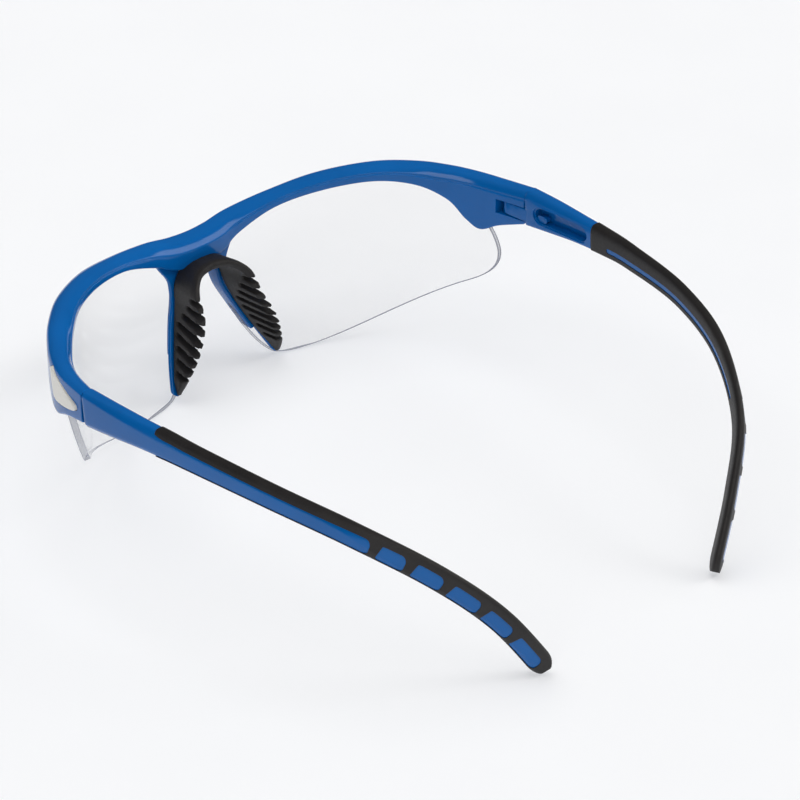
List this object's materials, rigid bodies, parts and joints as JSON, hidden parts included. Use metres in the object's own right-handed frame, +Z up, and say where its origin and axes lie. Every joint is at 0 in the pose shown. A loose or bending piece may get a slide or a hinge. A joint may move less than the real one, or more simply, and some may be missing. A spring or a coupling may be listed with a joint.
{
  "type": "sports safety glasses",
  "caption": "Half-rim wraparound sports glasses: clear lenses under a blue brow bar, ribbed rubber nose pad, folding temples with black rubber grips.",
  "frame": {"origin": "middle of the open glasses in plan, on the table they stand on", "axes": "+Y the way the wearer looks, +X the wearer's right, +Z up"},
  "size_m": [0.1424, 0.1572, 0.0434],
  "materials": {
    "frame_gloss": "glossy moulded nylon, royal blue",
    "lens_clear": "clear polished polycarbonate",
    "soft_black": "matt moulded elastomer",
    "badge_satin": "satin silver plate",
    "pin_steel": "plain steel"
  },
  "bodies": {
    "front": {"front_frame": "frame_gloss", "nose_pad": "soft_black", "right_lens": "lens_clear", "left_lens": "lens_clear", "right_badge": "badge_satin", "left_badge": "badge_satin", "right_hinge_pin": "pin_steel", "left_hinge_pin": "pin_steel"},
    "right_arm": {"right_temple": "frame_gloss", "right_temple_grip": "soft_black"},
    "left_arm": {"left_temple": "frame_gloss", "left_temple_grip": "soft_black"}
  },
  "joints": [
    {"name": "right_temple_fold", "type": "hinge", "parent": "front", "child": "right_arm", "pos_m": [0.06743, 0.03278, 0.0368], "axis": [0, 0, -1], "range_deg": [0, 69]},
    {"name": "left_temple_fold", "type": "hinge", "parent": "front", "child": "left_arm", "pos_m": [-0.06743, 0.03278, 0.0368], "axis": [0, 0, 1], "range_deg": [0, 76]}
  ]
}
